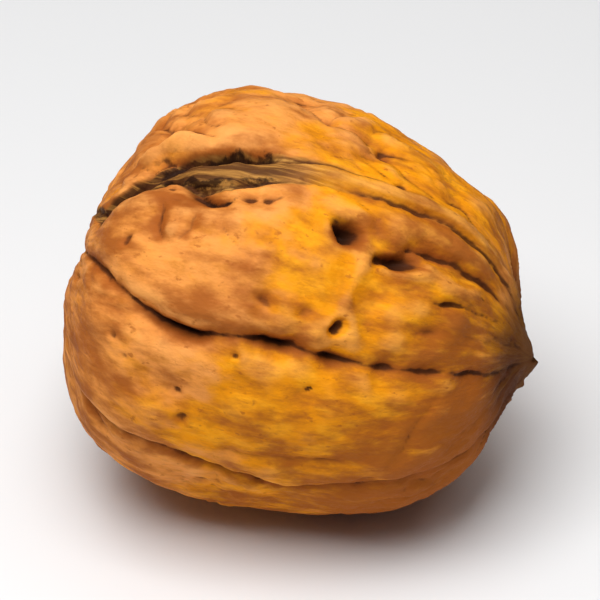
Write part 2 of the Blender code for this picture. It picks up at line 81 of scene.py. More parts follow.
def shifts_at(points, scale, seed, count):
    """Noise with a few seeds, side by side: a shift in so many directions."""
    return np.stack([noise_at(points, scale, seed + number) for number in range(count)], 1)


def profile_radius(offset):
    """The plain body's radius at a distance along the axis from its widest place."""
    reach = np.where(offset > 0, TIP_REACH, STALK_REACH)
    power = np.where(offset > 0, TIP_POWER, STALK_POWER)
    share = np.clip(np.abs(offset) / reach, 0, 1)
    return GIRTH_RADIUS * (1 - share ** power) ** (1 / power)


def length_over_skin():
    """Stations, and the distance over the skin from the stalk end to each."""
    stations = np.linspace(0, 1, PROFILE_STEPS)
    offsets = stations * LENGTH - STALK_REACH
    steps = np.hypot(np.diff(offsets), np.diff(profile_radius(offsets)))
    return stations, np.concatenate([[0], np.cumsum(steps)])


class Skin:
    """Places on the plain body, and the height of the relief there, in mm."""

    def __init__(self, directions):
        self.directions = directions
        x, y, z = directions.T
        reach = np.where(x > 0, TIP_REACH, STALK_REACH)
        power = np.where(x > 0, TIP_POWER, STALK_POWER)
        lateral = np.hypot(y / CHEEK_RADIUS, z / SEAM_RADIUS)
        distance = ((np.abs(x) / reach) ** power + lateral ** power) ** (-1 / power)
        self.body = directions * distance[:, None]
        self.station = (self.body[:, 0] + STALK_REACH) / LENGTH
        self.radius = np.hypot(self.body[:, 1], self.body[:, 2])
        self.angle = np.arctan2(-y, z)
        self.stations, self.lengths = length_over_skin()
        self.length = np.interp(self.station, self.stations, self.lengths)
        round_places = GIRTH_RADIUS * np.stack([np.cos(self.angle), np.sin(self.angle)], 1)
        self.grain = np.column_stack([self.length, round_places])
        self.off_end = ease(0, END_FADE, self.radius)
        self.sway = np.zeros((len(directions), 2))
        for number, (scale, size) in enumerate((SWAY, SMALL_SWAY)):
            shifts = shifts_at(self.grain, scale, SWAY_SEED + 2 * number, 2)
            self.sway += size * shifts * self.off_end[:, None]
        self.height = np.zeros(len(directions))
        self.pressed = np.zeros(len(directions))

    def round_from(self, degrees):
        """The distance round the skin from an angle."""
        turn = self.angle - np.radians(degrees)
        return ((turn + math.pi) % (2 * math.pi) - math.pi) * self.radius

    def away_from(self, station, degrees):
        """The distances along and round the skin from a place."""
        return self.length - np.interp(station, self.stations, self.lengths), self.round_from(degrees)

    def facing(self, degrees):
        """1 where the skin looks towards an angle, 0 a quarter turn from it and beyond."""
        return np.clip(np.cos(self.angle - math.radians(degrees)), 0, 1) ** 2 * self.off_end


shell_mesh = bpy.data.meshes.new("walnut shell")
ball = bmesh.new()
bmesh.ops.create_cube(ball, size=2)
bmesh.ops.subdivide_edges(ball, edges=ball.edges[:], cuts=GRID - 1, use_grid_fill=True)
for vert in ball.verts:
    vert.co = Vector([math.tan(value * math.pi / 4) for value in vert.co]).normalized()
ball.to_mesh(shell_mesh)
ball.free()
skin = Skin(np.array([vert.co[:] for vert in shell_mesh.vertices]))


# The body's slow swellings: flat by the stalk on top, full below the tip, and uneven all over as it grew.
# A station is 0 at the stalk end and 1 at the tip. An angle is in degrees round the nut from the top of the
# seam, positive towards the front. Each swelling has its station, spread, angle and height in mm.
SWELLINGS = (
    (0.10, 0.18, -40, -0.9),
    (0.02, 0.07, 5, -0.8),
    (0.45, 0.25, 126, -0.4),
    (0.86, 0.13, 118, 1.9),
    (0.90, 0.10, -20, 0.6),
)
# Waves all over it: their length and height in mm.
BODY_WAVE = (11, 0.45)
GRAIN_WAVE = (7, 0.3)
GRAIN_RIPPLE = (3.2, 0.24)
WAVE_SEED = 1


def bell(value, width):
    return np.exp(-(value / width) ** 2)


waves = ((skin.body, BODY_WAVE), (skin.grain, GRAIN_WAVE), (skin.grain, GRAIN_RIPPLE))
for number, (place, (scale, height)) in enumerate(waves):
    skin.height += height * noise_at(place, scale, WAVE_SEED + number) * skin.off_end
for station, spread, angle, height in SWELLINGS:
    skin.height += height * bell(skin.station - station, spread) * skin.facing(angle)


# The seam band, where the halves have grown together: fibrous cords in a split at the stalk end, which rise
# to a smooth keel towards the tip. Its two edges are angles, and its level is against the shell, in mm.
BAND_STATIONS = (0, 0.06, 0.11, 0.20, 0.28, 0.36, 0.45, 0.53, 0.62, 0.71, 0.79, 0.87, 0.94, 1)
TOP_BAND_BACK = (0, 15, 5, -2, -4, -5.4, -6.2, -7, -8, -9.4, -11.4, -13, -15, -15)
TOP_BAND_FRONT = (0, 22, 10, 5.4, 8.8, 7, 3, 0.5, -1.4, -3.3, -5, -5.5, -6.5, -7)
TOP_BAND_LEVEL = (-0.4, -1.0, -1.35, -1.4, -1.15, -0.85, -0.5, -0.15, 0.05, 0.1, 0.1, 0.1, 0.05, 0)
LOW_BAND_BACK = (0, -3, -2, -4, -5, -5, -4, -3, -3.5, -4, -4.5, -4, -4, 0)
LOW_BAND_FRONT = (0, 3, 4, 2, 1, 1.5, 3, 4, 3, 2, 2, 3, 4, 5)
LOW_BAND_LEVEL = (-0.4, -0.9, -1.0, -0.7, -0.4, -0.2, -0.1, 0, 0.1, 0.3, 0.45, 0.6, 0.6, 0.5)
# Half the breadth of its walls, the height of its crown, and the pitch, height and sway of its cords.
BAND_WALL = 0.35
BAND_CROWN = 0.35
BAND_CORDS = (0.85, 0.09)
CORD_SWAY = 9.0
# Its least half breadth, where the fine creases beside it begin and are full, and how far its tint reaches.
NARROWEST_BAND = 0.25
BAND_SURROUNDS = (0.2, 1.2)
BAND_TINT_REACH = 0.5


def lay_band(skin):
    top = skin.body[:, 2] > 0
    turn = np.where(top, skin.angle, np.sign(skin.angle) * (math.pi - np.abs(skin.angle)))

    def at(top_values, low_values):
        over = np.interp(skin.station, BAND_STATIONS, top_values)
        under = np.interp(skin.station, BAND_STATIONS, low_values)
        return np.where(top, over, under)

    back = at(TOP_BAND_BACK, LOW_BAND_BACK)
    front = at(TOP_BAND_FRONT, LOW_BAND_FRONT)
    half = np.maximum(np.radians(front - back) / 2 * skin.radius, NARROWEST_BAND)
    across = (turn - np.radians(front + back) / 2) * skin.radius + skin.sway[:, 0]
    out = np.abs(across)
    inside = ease(half + BAND_WALL, half - BAND_WALL, out)
    crown = BAND_CROWN * np.clip(1 - (across / half) ** 2, 0, 1)
    cord_pitch, cord_height = BAND_CORDS
    cords = cord_height * np.sin(across * 2 * math.pi / cord_pitch + CORD_SWAY * skin.sway[:, 1])
    skin.height += inside * (at(TOP_BAND_LEVEL, LOW_BAND_LEVEL) + (crown + cords) * skin.off_end)
    skin.in_band = ease(half + BAND_TINT_REACH, half, out)
    near, clear = BAND_SURROUNDS
    skin.beside_band = ease(half + near, half + clear, out)


lay_band(skin)


# The furrows and creases pressed into the shell as it grew, each with a sharp floor and rounded shoulders.
# Each has the breadth of its floor's back and front side, then its path: station, angle and depth in mm.
CREASES = (
    # the back edge of the seam band
    (0.24, 0.42, (
        (0.05, 18, 0.4), (0.11, 5.5, 0.9), (0.16, -0.8, 1.2), (0.22, -3.0, 1.4), (0.27, -4.1, 1.8),
        (0.31, -4.8, 1.6), (0.335, -5.3, 0.9), (0.365, -5.7, 1.8), (0.40, -6.3, 1.3), (0.44, -6.4, 0.6),
        (0.52, -7.2, 0.4), (0.60, -8, 0.3), (0.68, -9.2, 0.2), (0.75, -10.6, 0),
    )),
    # the front edge of the seam band
    (0.20, 0.30, (
        (0.06, 21, 0.3), (0.11, 10.2, 0.6), (0.20, 5.6, 0.7), (0.26, 8.2, 0.8), (0.31, 8.4, 0.9),
        (0.36, 7.0, 0.7), (0.40, 5.0, 0.6), (0.44, 3.4, 0.35), (0.53, 0.6, 0.2), (0.60, -1.1, 0.3),
        (0.66, -2.1, 0.5), (0.72, -3.6, 0.6), (0.79, -5.1, 0.6), (0.86, -5.4, 0.6), (0.92, -6.3, 0.4),
        (0.97, -7, 0.1),
    )),
    # the gap between the band and the front lobe
    (0.45, 0.36, (
        (0.13, 10.6, 0.3), (0.18, 7.8, 0.5), (0.235, 8.8, 0.7), (0.285, 10.9, 1.8), (0.32, 12.6, 1.7),
        (0.348, 12.2, 1.1), (0.37, 10.6, 0.5), (0.40, 10.4, 0.9), (0.42, 10.2, 0.5), (0.44, 9.6, 0.8),
        (0.47, 7.0, 0.4), (0.52, 4.4, 0.1),
    )),
    # the long furrow that parts the upper lobe from the cheek
    (0.34, 0.50, (
        (0, 31, 0.6), (0.05, 35.5, 0.8), (0.10, 39.3, 1.0), (0.155, 43, 0.8), (0.21, 46, 1.1),
        (0.265, 48.6, 1.8), (0.33, 49.6, 2.2), (0.375, 48.6, 1.6), (0.41, 47.6, 0.8), (0.46, 46.8, 0.8),
        (0.50, 46.8, 1.9), (0.55, 46.9, 2.1), (0.585, 46.9, 1.0), (0.62, 47.2, 0.8), (0.655, 47.6, 1.8),
        (0.70, 47.9, 1.0), (0.735, 48, 0.5), (0.768, 48.2, 1.1), (0.80, 48.4, 0.45), (0.855, 49.2, 1.0),
        (0.89, 49.7, 0.45), (0.93, 51.5, 0.9), (0.96, 54, 0.5), (1, 60, 0.2),
    )),
    # the furrow along the middle of the front half, and its branch
    (0.42, 0.50, (
        (0, 90, 0.5), (0.08, 92, 0.9), (0.20, 91, 0.6), (0.30, 90.5, 0.55), (0.41, 94.7, 0.75),
        (0.50, 97, 0.8), (0.60, 100, 0.7), (0.70, 97.5, 0.65), (0.80, 94.5, 0.8), (0.88, 97.5, 0.6),
        (0.96, 104, 0.4),
    )),
    (0.30, 0.30, (
        (0.44, 83, 0.1), (0.50, 84.4, 0.35), (0.60, 83.4, 0.3), (0.68, 83.4, 0.35), (0.75, 81.5, 0.1),
    )),
    # folds that run with the band to the tip
    (0.26, 0.40, (
        (0.69, 11.8, 0.05), (0.73, 10.8, 0.3), (0.77, 9, 0.6), (0.81, 7.5, 0.8), (0.86, 6.7, 0.85),
        (0.91, 6, 0.7), (0.95, 5, 0.4), (0.99, 3, 0.1),
    )),
    (0.24, 0.40, (
        (0.815, 25, 0.1), (0.85, 22.8, 0.55), (0.90, 21, 0.4), (0.95, 18.5, 0.35), (0.99, 14, 0.1),
    )),
    (0.24, 0.30, (
        (0.78, 36, 0.1), (0.84, 34, 0.15), (0.90, 33, 0.2), (0.97, 34, 0.1),
    )),
    # the slanting fold low on the front
    (0.30, 0.30, (
        (0.80, 84, 0.1), (0.825, 77, 0.35), (0.84, 69, 0.35), (0.875, 57, 0.15),
    )),
    # creases of the upper lobe
    (0.55, 0.45, (
        (0.195, 13.5, 0.3), (0.212, 17, 0.6), (0.21, 21.5, 0.65), (0.225, 25.4, 0.45), (0.25, 26.5, 0.1),
    )),
    (0.60, 0.60, (
        (0.20, 13.5, 0.3), (0.235, 13.2, 0.6), (0.272, 15, 0.65), (0.292, 18.5, 0.6), (0.288, 22.5, 0.45),
        (0.265, 26, 0.1),
    )),
    (0.20, 0.25, (
        (0.34, 17, 0.1), (0.37, 20.5, 0.28), (0.40, 23.5, 0.25), (0.44, 26, 0.1),
    )),
    # cracks behind the seam
    (0.28, 0.28, (
        (0.42, -40, 0.15), (0.455, -33, 0.5), (0.50, -28.5, 0.6), (0.57, -27.5, 0.4), (0.64, -25, 0.3),
    )),
    (0.26, 0.26, (
        (0.50, -28.5, 0.4), (0.52, -34, 0.4), (0.56, -40, 0.15),
    )),
    (0.26, 0.26, (
        (0.66, -22, 0.3), (0.71, -17, 0.45), (0.77, -15, 0.4), (0.83, -20, 0.45), (0.87, -14, 0.3),
        (0.93, -12, 0.2),
    )),
    (0.26, 0.26, (
        (0.03, -70, 0.2), (0.05, -40, 0.6), (0.09, -29, 0.7), (0.13, -33, 0.5), (0.15, -46, 0.3),
    )),
    (0.30, 0.30, (
        (0.10, -30, 0.5), (0.16, -18, 0.7), (0.22, -13, 0.8), (0.27, -10, 0.5), (0.30, -9, 0.1),
    )),
    # furrows of the back half and the underside
    (0.34, 0.34, (
        (0, 140, 0.3), (0.10, 138, 0.8), (0.25, 138, 0.65), (0.45, 135, 0.65), (0.60, 134, 0.6),
        (0.80, 138, 0.5), (1, 140, 0.1),
    )),
    (0.34, 0.34, (
        (0.15, -43, 0.3), (0.30, -46, 0.6), (0.45, -48, 0.6), (0.60, -52, 0.7), (0.80, -48, 0.6),
        (1, -45, 0.1),
    )),
    (0.38, 0.38, (
        (0, -90, 0.5), (0.10, -91, 1.2), (0.25, -88, 1.0), (0.45, -85, 1.0), (0.60, -86, 0.9),
        (0.80, -91, 0.8), (1, -90, 0.2),
    )),
    (0.36, 0.36, (
        (0, -138, 0.3), (0.10, -134, 0.9), (0.30, -137, 0.8), (0.45, -140, 0.7), (0.60, -136, 0.8),
        (0.80, -136, 0.6), (1, -140, 0.1),
    )),
)
# The share of its depth that is cut, the depth and breadth of its shoulders, and the rounding of its floor.
CREASE_CUT = 0.85
CREASE_SHOULDER = (0.4, 3.2)
CREASE_FLOOR = 0.1
PATH_STEPS = 4


def smooth_path(points):
    """More points, on an even curve through the given ones."""
    points = np.array(points, dtype=float)
    ends = np.vstack([2 * points[0] - points[1], points, 2 * points[-1] - points[-2]])
    path = []
    for before, start, stop, after in zip(ends, ends[1:], ends[2:], ends[3:]):
        slope = stop - before
        bend = 2 * before - 5 * start + 4 * stop - after
        twist = 3 * start - before - 3 * stop + after
        for step in range(PATH_STEPS):
            part = step / PATH_STEPS
            path.append(start + (slope * part + bend * part ** 2 + twist * part ** 3) / 2)
    path.append(points[-1])
    return np.array(path)


def from_path(skin, points):
    """The distance from a path over the skin, positive on its front side, and the value it carries there."""
    path = smooth_path(points)
    path_lengths = np.interp(path[:, 0], skin.stations, skin.lengths)
    nearest = np.full(len(skin.length), np.inf)
    side = np.zeros(len(skin.length))
    carried = np.zeros(len(skin.length))
    for start, stop, start_length, stop_length in zip(path, path[1:], path_lengths, path_lengths[1:]):
        along = skin.length + skin.sway[:, 0] - start_length
        across = skin.round_from(start[1]) + skin.sway[:, 1]
        run = stop_length - start_length
        rise = math.radians(stop[1] - start[1]) * skin.radius
        part = np.clip((along * run + across * rise) / (run ** 2 + rise ** 2), 0, 1)
        gap = np.hypot(along - part * run, across - part * rise)
        closer = gap < nearest
        nearest = np.where(closer, gap, nearest)
        side = np.where(closer, np.sign(run * across - rise * along), side)
        carried = np.where(closer, start[2] + part * (stop[2] - start[2]), carried)
    return nearest * side, np.maximum(carried, 0)


for back_width, front_width, points in CREASES:
    across, depth = from_path(skin, points)
    width = np.where(across > 0, front_width, back_width)
    share, breadth = CREASE_SHOULDER
    cut = CREASE_CUT * depth * np.exp(-np.hypot(across, CREASE_FLOOR) / width)
    skin.height -= cut
    skin.pressed += cut
    skin.height -= share * depth * bell(across, breadth * width)


# The ridges between them: rounded swellings along the edges of the lobes and folds.
# Each has its breadth in mm, then its path: station, angle and height.
RIDGES = (
    # the lip of the back half along the split
    (0.75, (
        (0.07, 5, 0.2), (0.12, -3.5, 0.7), (0.18, -7.2, 1.0), (0.24, -9.4, 0.9), (0.29, -11.2, 0.35),
        (0.33, -13, 0),
    )),
    # the swollen edge of the front lobe
    (1.1, (
        (0.09, 22, 0.1), (0.15, 15, 0.35), (0.22, 14, 0.4), (0.27, 15.5, 0.3), (0.30, 18, 0.1),
    )),
    # the forked ridge beside the pits
    (0.75, (
        (0.655, 13, 0.2), (0.668, 18, 0.55), (0.664, 25, 0.45), (0.658, 31, 0.35), (0.635, 36, 0.35),
        (0.608, 41, 0.3),
    )),
    (0.7, (
        (0.655, 32, 0.3), (0.675, 36, 0.4), (0.69, 41, 0.35),
    )),
    # the shoulder of the seam towards the tip
    (1.3, (
        (0.50, 6, 0.1), (0.58, 5, 0.35), (0.66, 4, 0.5), (0.74, 2, 0.5), (0.81, 1, 0.5), (0.87, 0.6, 0.45),
        (0.93, -1, 0.3),
    )),
    (0.8, (
        (0.74, 17.5, 0.1), (0.80, 14.5, 0.35), (0.86, 14.5, 0.35), (0.92, 13, 0.3), (0.97, 11, 0.1),
    )),
    # the slope above the long furrow
    (1.6, (
        (0.20, 42, 0.1), (0.30, 43.5, 0.3), (0.45, 41.5, 0.3), (0.56, 41, 0.25), (0.66, 43, 0.1),
    )),
)

for width, points in RIDGES:
    across, height = from_path(skin, points)
    skin.height += height * bell(across, width)


# Soft lumps and hollows on the lobes, where the shell grew full or fell in. Each has its station, angle,
# breadth in mm, and height in mm, which is negative for a hollow.
LUMPS = (
    # the back half by the seam
    (0.37, -25, 2.2, 0.3),
    (0.58, -20, 1.5, 0.25),
    (0.64, -31, 1.6, 0.3),
    (0.75, -26, 1.6, 0.3),
    (0.86, -30, 1.4, 0.25),
    (0.44, -10, 1.3, -0.2),
    (0.20, -25, 1.5, -0.3),
    # the upper lobe
    (0.38, 31, 3.0, 0.3),
    (0.46, 16, 1.8, 0.3),
    (0.58, 24.5, 1.6, 0.25),
    (0.49, 37, 1.3, -0.3),
    (0.57, 33, 1.2, -0.3),
    # round the two large pits
    (0.635, 11.0, 1.5, -0.4),
    (0.735, 14.5, 1.5, -0.35),
    # between the forked ridge and the tip
    (0.74, 31, 1.3, 0.3),
    (0.80, 27, 1.2, 0.3),
    (0.77, 39, 1.3, 0.3),
    (0.89, 28, 1.1, 0.25),
    (0.715, 28, 1.0, -0.35),
    (0.84, 34, 1.0, -0.3),
    # the cheek
    (0.49, 53.5, 1.8, 0.35),
    (0.475, 68.5, 1.8, 0.3),
    (0.69, 66.5, 2.2, 0.35),
    (0.87, 53.5, 1.8, 0.3),
    (0.28, 75, 1.8, 0.3),
    (0.22, 59, 2.0, 0.25),
    (0.33, 68.5, 1.3, -0.35),
    (0.48, 61, 1.2, -0.3),
    (0.62, 59, 1.1, -0.3),
    (0.79, 71, 1.5, -0.3),
)

for station, angle, breadth, height in LUMPS:
    skin.height += height * bell(np.hypot(*skin.away_from(station, angle)), breadth)


# Pits, dimples and pimples in the shell. Each has its station, angle, half length, half breadth, depth
# (negative where it is raised) and turn in degrees.
SPOTS = (
    (0.625, 12.0, 0.95, 0.75, 1.75, 20),
    (0.598, 9.8, 0.8, 0.55, 0.5, 25),
    (0.325, -4.0, 1.3, 0.36, 0.8, 2),
    (0.402, -5.0, 0.85, 0.28, 0.6, 2),
    (0.752, 14.2, 1.45, 0.55, 1.4, -14),
    (0.706, 16.0, 0.8, 0.5, 0.45, -50),
    (0.868, 22.2, 0.8, 0.35, 0.35, -15),
    (0.649, 39.4, 0.55, 0.52, 0.9, 0),
    (0.154, 28.1, 0.4, 0.5, 0.35, 10),
    (0.249, 22.6, 0.6, 0.5, -0.4, 0),
    (0.648, -23.4, 0.6, 0.5, 0.5, 0),
    (0.697, -10.6, 0.5, 0.4, 0.5, 0),
    (0.170, 57.2, 0.45, 0.4, 0.25, 0),
    (0.206, 62.8, 0.3, 0.3, 0.2, 0),
    (0.340, 68.4, 0.35, 0.3, 0.25, 0),
    (0.359, 75.9, 0.5, 0.4, 0.35, 0),
    (0.453, 52.5, 0.3, 0.3, 0.3, 0),
    (0.621, 58.1, 0.3, 0.25, 0.25, 0),
    (0.491, 36.6, 0.8, 0.5, 0.3, 30),
    (0.577, 36.6, 0.7, 0.45, 0.3, -20),
    (0.411, 104.1, 0.6, 0.4, 0.35, 0),
    (0.548, 98.4, 0.5, 0.4, 0.35, 0),
    (0.765, 92.0, 0.8, 0.4, 0.35, 0),
    (0.36, 93.2, 0.7, 0.5, 0.35, 0),
    (0.45, 96.5, 0.9, 0.5, 0.35, 0),
)
SPOT_WALL_POWER = 3.3
SPOT_SWAY = 1.5
# The soft rim round each: its share of the depth, its distance and its breadth, in radii of the spot.
SPOT_RIM = (0.15, 1.7, 0.6)

for station, angle, half_length, half_breadth, depth, turn in SPOTS:
    along, across = skin.away_from(station, angle) + SPOT_SWAY * skin.sway.T
    cosine, sine = math.cos(math.radians(turn)), math.sin(math.radians(turn))
    long_share = (along * cosine + across * sine) / half_length
    broad_share = (across * cosine - along * sine) / half_breadth
    far = np.hypot(long_share, broad_share)
    pressed = depth / (1 + far ** SPOT_WALL_POWER)
    skin.height -= pressed
    skin.pressed += np.maximum(pressed, 0)
    share, distance, breadth = SPOT_RIM
    skin.height += share * depth * bell(far - distance, breadth)


# The net of fine creases that parts the skin into small lobes, drawn out along the nut, in patches with
# calmer skin between them, and fine wrinkles all over. Each net has its cell length and breadth, depth,
# crease breadth as a share of a cell, and the size of its patches.
NETS = (
    (5.2, 3.4, 0.42, 0.34, 6.0),
    (2.2, 1.5, 0.17, 0.36, 4.5),
)
# The sharp floor of its creases: its share of their depth, and its breadth as a share of a cell.
NET_CRACK = (0.25, 0.08)
# How its cells are bent out of true: the length of the bends, and how far they go, in cells.
NET_BEND = (0.9, 0.42)
NET_PATCH_EDGE = (-0.25, 0.35)
NET_SEED = 21
PATCH_SEED = 22
# The calm cheek: station, spread, angle, the share of the net that is lost there, and how sharply it ends.
CALM_CHEEK = (0.66, 0.5, 58, 1.0)
CALM_EDGE = 2
# The wrinkles: their length and height in mm, the share of them left at the ends, and their layers: how fast
# they weaken, how much finer each is than the last, and how many there are.
WRINKLES = (2.2, 0.1)
WRINKLES_AT_ENDS = 0.3
WRINKLE_SEED = 29
WRINKLE_LAYERS = (0.9, 2.0, 3)


def cell_edges(points):
    """How far each point is from the border between two cells."""
    gaps = []
    for point in points.tolist():
        near = noise.voronoi(point)[0]
        gaps.append(near[1] - near[0])
    return np.array(gaps)


def bent(points, scale, amount, seed):
    return points + amount * shifts_at(points, scale, seed, 3)


def rough_at(points, scale, seed):
    return np.array([noise.fractal(point, *WRINKLE_LAYERS) for point in moved(points, scale, seed)])


station, spread, angle, lost = CALM_CHEEK
calm = 1 - lost * bell(skin.station - station, spread) * skin.facing(angle) ** CALM_EDGE
for number, (cell_length, cell_breadth, depth, width, patch) in enumerate(NETS):
    stretched = skin.grain / np.array((cell_length, cell_breadth, cell_breadth))
    edge = cell_edges(bent(stretched, *NET_BEND, NET_SEED + 3 * number))
    here = ease(*NET_PATCH_EDGE, noise_at(skin.grain, patch, PATCH_SEED + number))
    cracked = here * calm * skin.off_end * skin.beside_band
    skin.height -= depth * cracked * bell(edge, width)
    share, breadth = NET_CRACK
    skin.height -= share * depth * cracked ** 2 * np.exp(-edge / breadth)
scale, height = WRINKLES
fade = WRINKLES_AT_ENDS + (1 - WRINKLES_AT_ENDS) * skin.off_end
skin.height += height * rough_at(skin.grain, scale, WRINKLE_SEED) * fade


# The ends: the dimple where the stalk was, and the beak at the tip, which is thin across the seam and bends
# up towards the back of the seam.
STALK_DIMPLE = 1.0
STALK_DIMPLE_WIDTH = 2.4
BEAK_LENGTH = 2.5
BEAK_WIDTH = 1.7
BEAK_THIN = 0.8
BEAK_WIDE = 1.4
BEND_START = 0.7
BEND_RISE = 0.7
BEND_ANGLE = math.radians(-45)

toward_tip = skin.directions[:, 0] > 0
beak = np.hypot(skin.body[:, 1] / BEAK_THIN, skin.body[:, 2] / BEAK_WIDE)
skin.height -= np.where(toward_tip, 0, STALK_DIMPLE * bell(skin.radius, STALK_DIMPLE_WIDTH))
skin.height += np.where(toward_tip, BEAK_LENGTH * np.exp(-beak / BEAK_WIDTH), 0)
points = skin.body + skin.directions * skin.height[:, None]
rise = BEND_RISE * ease(BEND_START, 1, skin.station)
points += rise[:, None] * np.array((0, -math.sin(BEND_ANGLE), math.cos(BEND_ANGLE)))


# How the nut lies: rolled so that the seam leans to the front, with the tip a little down, its weight over
# the origin, on a small flat where it meets the table. Its mesh is in metres.
MILLIMETRE = 0.001
ROLL = math.radians(17.0)
TILT = math.radians(7.7)
FLAT_DEPTH = 0.5


def weight_centre(points, triangles):
    first, second, third = (points[triangles[:, corner]] for corner in range(3))
    volumes = np.einsum("ij,ij->i", first, np.cross(second, third))
    return ((first + second + third) * volumes[:, None]).sum(0) / volumes.sum() / 4


points = points @ np.array(Matrix.Rotation(TILT, 3, "Y") @ Matrix.Rotation(ROLL, 3, "X")).T
shell_mesh.calc_loop_triangles()
triangles = np.array([triangle.vertices[:] for triangle in shell_mesh.loop_triangles])
centre = weight_centre(points, triangles)
points -= np.array((centre[0], centre[1], points[:, 2].min() + FLAT_DEPTH))
shell_mesh.vertices.foreach_set("co", (points * MILLIMETRE).ravel())


# What the shell's finish reads at each place: how deep it lies in a fine crease and in a broad hollow, how
# pressed it is, its rust brown round creases and pits (partly painted shade, partly stain), how ochre it is,
# its dusky brown and stains (partly painted shade), its painted shade in the split, whether it is in the
# seam band, its station, and its place along the grain. Heights are evened so many times to find fine
# creases, broad hollows, and the spread of rust brown round creases and pits.
FINE_PASSES = 6
BROAD_PASSES = 70
CREASE_STAIN_AND_SHADE_PASSES = 9


def evened(height, pairs, passes):
    """The heights, averaged again and again with their neighbours'."""
    one, other = pairs.T
    neighbours = np.bincount(one, minlength=len(height)) + np.bincount(other, minlength=len(height))
    for _ in range(passes):
        total = np.bincount(one, height[other], len(height)) + np.bincount(other, height[one], len(height))
        height = (height + total / neighbours) / 2
    return height


# Where the skin is ochre and not peach: each soft patch has its station, spread, angle and strength.
OCHRE_PATCHES = (
    (0.75, 0.22, -15, 0.8),
    (0.85, 0.20, 45, 0.9),
    (0.70, 0.10, 30, 1.0),
    (0.55, 0.30, 80, 1.2),
    (0.60, 0.35, 160, 0.6),
    (0.15, 0.20, 80, -0.3),
    (0.30, 0.25, 15, -0.5),
    (0.45, 0.50, 110, -0.4),
)
# Where it is darker brown, partly the shell's own dusky brown and partly painted shade where the light falls
# off: round the stalk, beside the tip and low on the body.
DUSKY_AND_SHADED_PATCHES = (
    (0.40, 0.50, 132, 0.75),
    (0.95, 0.16, 95, 2.0),
    (0.80, 0.22, 128, 1.5),
    (0.02, 0.16, 70, 0.8),
    (0.08, 0.14, -20, 0.8),
    (0.92, 0.12, -60, 0.7),
    (0.50, 0.60, -140, 0.8),
)
# Brown stains, and painted shade along the lower edge of the upper lobe and partly round the pits: station,
# angle, breadth in mm and strength.
STAINS_AND_SHADE = (
    # in and round the dimple of the upper lobe
    (0.205, 12.5, 0.6, 1.6),
    (0.235, 12.2, 0.6, 2.2),
    (0.272, 14, 0.6, 2.2),
    (0.215, 16.5, 0.7, 2.2),
    (0.208, 21.5, 0.7, 2.2),
    (0.225, 25.5, 0.7, 1.6),
    (0.297, 18.5, 0.6, 1.9),
    (0.285, 23.5, 0.6, 1.3),
    (0.115, 22, 1.2, 0.8),
    (0.155, 28, 0.8, 0.8),
    # painted shade along the lower edge of the upper lobe, where it turns down
    (0.36, 43, 2.0, 1.1),
    (0.43, 43, 2.0, 1.7),
    (0.50, 42.5, 1.9, 1.4),
    (0.57, 42, 1.6, 0.9),
    (0.47, 33, 1.5, 0.6),
    # the cheek beside the stalk
    (0.10, 58, 3.2, 0.8),
    (0.23, 76, 1.8, 0.6),
    # round the large pits, partly painted shade, and on the strip beside the band
    (0.655, 8, 1.6, 1.0),
    (0.60, 8, 1.3, 0.7),
    (0.70, 15, 1.4, 0.8),
    (0.67, 3.5, 1.4, 1.1),
    (0.73, 4, 1.6, 1.8),
    (0.79, 3, 1.6, 2.0),
    (0.85, 2, 1.6, 1.8),
    (0.91, 0, 1.5, 1.2),
    (0.90, 30, 3.0, 1.4),
    (0.82, 45, 2.4, 0.8),
    (0.93, 62, 3.0, 1.0),
    (0.80, 18, 1.8, 0.9),
)
# Painted shade in the split, dark lines under its two lips: their breadth, then station, angle and strength
# along them.
SPLIT_SHADE_LINES = (
    (0.34, (
        (0.10, 11, 0.3), (0.17, 1.8, 0.7), (0.23, -1.8, 0.8), (0.29, -4.2, 0.9), (0.345, -5.4, 0.9),
        (0.37, -6, 0.5), (0.40, -6.4, 0.9), (0.43, -6.6, 0.5), (0.47, -6.8, 0),
    )),
    (0.4, (
        (0.13, 6, 0.4), (0.20, 4.8, 0.8), (0.28, 5.8, 0.8), (0.35, 4.8, 0.4), (0.42, 3, 0.7), (0.48, 1.4, 0),
    )),
    (0.35, (
        (0.27, 8, 0.4), (0.32, 12.6, 0.8), (0.36, 11.6, 0.5), (0.385, 8, 0),
    )),
)


def patches(skin, places):
    total = np.zeros(len(skin.station))
    for station, spread, angle, strength in places:
        total += strength * bell(skin.station - station, spread) * skin.facing(angle)
    return total


# Dusky brown, partly painted shade where the light falls off, with the stains and painted shade added.
stains_and_shade = patches(skin, DUSKY_AND_SHADED_PATCHES)
for station, angle, breadth, strength in STAINS_AND_SHADE:
    stains_and_shade += strength * bell(np.hypot(*skin.away_from(station, angle)), breadth)

# Painted shade in the split, under its lips.
split_shade = np.zeros(len(skin.station))
for breadth, points in SPLIT_SHADE_LINES:
    across, strength = from_path(skin, points)
    split_shade = np.maximum(split_shade, strength * bell(across, breadth))

pairs = np.array([edge.vertices[:] for edge in shell_mesh.edges])
finely_evened = evened(skin.height, pairs, FINE_PASSES)
broadly_evened = evened(finely_evened, pairs, BROAD_PASSES)
readings = {
    "crease": finely_evened - skin.height,
    "hollow": broadly_evened - finely_evened,
    "pressed": skin.pressed,
    "crease_stain_and_shade": evened(skin.pressed, pairs, CREASE_STAIN_AND_SHADE_PASSES),
    "tone": patches(skin, OCHRE_PATCHES),
    "stains_and_shade": stains_and_shade,
    "split_shade": split_shade,
    "band": skin.in_band,
    "station": skin.station,
}
for name, values in readings.items():
    attribute = shell_mesh.attributes.new(name, "FLOAT", "POINT")
    attribute.data.foreach_set("value", values.astype(np.float32))
attribute = shell_mesh.attributes.new("grain", "FLOAT_VECTOR", "POINT")
attribute.data.foreach_set("vector", skin.grain.astype(np.float32).ravel())

